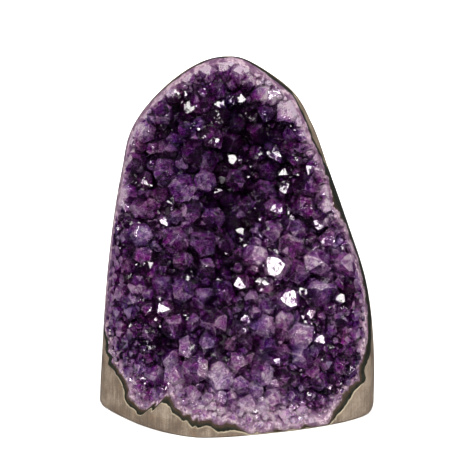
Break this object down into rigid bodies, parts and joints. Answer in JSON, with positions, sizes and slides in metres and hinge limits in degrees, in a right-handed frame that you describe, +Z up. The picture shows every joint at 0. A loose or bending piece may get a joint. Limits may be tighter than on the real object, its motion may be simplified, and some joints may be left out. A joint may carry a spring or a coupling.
{
  "type": "amethyst cluster",
  "caption": "Cut-base amethyst geode piece: a ground basalt block with a hollow in front, lined with quartz and grown over with violet crystals.",
  "frame": {"origin": "middle of the sawn base, on the surface that the piece stands on", "axes": "+Z up, the crystal hollow faces -Y, +X to the viewer's right"},
  "size_m": [0.0929, 0.0661, 0.116],
  "materials": {
    "basalt": "satin ground basalt on the front and sides, rough broken rock behind",
    "rind": "polished green-black rind with a brown edge",
    "amethyst": "clear violet quartz crystals on milky lilac quartz, ground flush at the rim"
  },
  "bodies": {
    "root": {"basalt_matrix": "basalt", "dark_rind": "rind", "amethyst_crust": "amethyst"}
  },
  "joints": []
}
